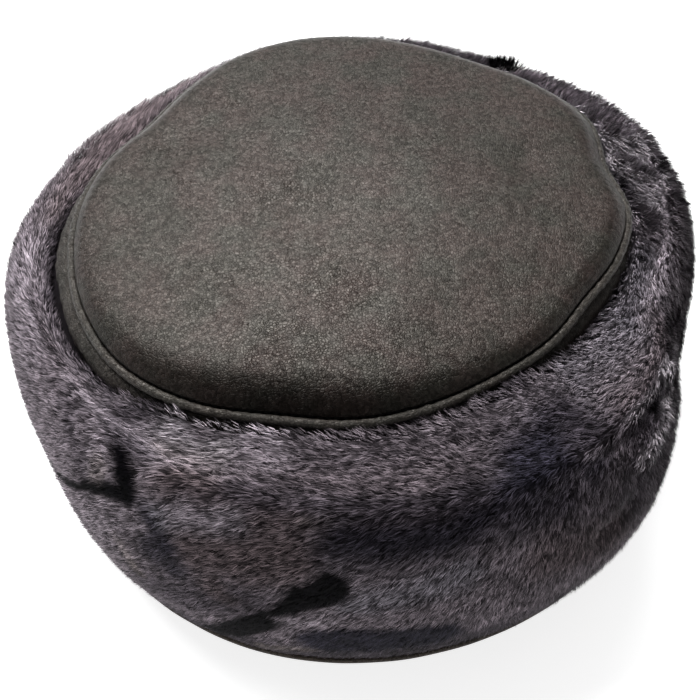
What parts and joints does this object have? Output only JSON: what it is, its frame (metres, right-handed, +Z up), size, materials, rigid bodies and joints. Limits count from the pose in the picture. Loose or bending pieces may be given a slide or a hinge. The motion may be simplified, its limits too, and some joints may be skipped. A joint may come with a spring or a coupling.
{
  "type": "kubanka hat",
  "caption": "Low round hat with a domed leather crown, a piped seam and a wide wrapped band of short fur, open below for the head.",
  "frame": {"origin": "middle of the hat's box at the height of the hem, where it rests on a surface", "axes": "+Z up through the crown, -Y towards the viewer's side of the hat"},
  "size_m": [0.2446, 0.2488, 0.1149],
  "materials": {
    "crown_leather": "dark olive-grey nappa leather, fine pebbled grain, soft sheen",
    "piping_leather": "nearly black rolled leather with small puckers",
    "side_leather": "dark brown-grey leather, slightly wrinkled",
    "grey_fur": "short dense fur, purple-grey with brown-grey, blue-grey and black patches",
    "hem_leather": "matte dark brown leather edge"
  },
  "bodies": {
    "root": {"crown_top": "crown_leather", "crown_piping": "piping_leather", "crown_side": "side_leather", "fur_band": "grey_fur", "hem_binding": "hem_leather"}
  },
  "joints": []
}
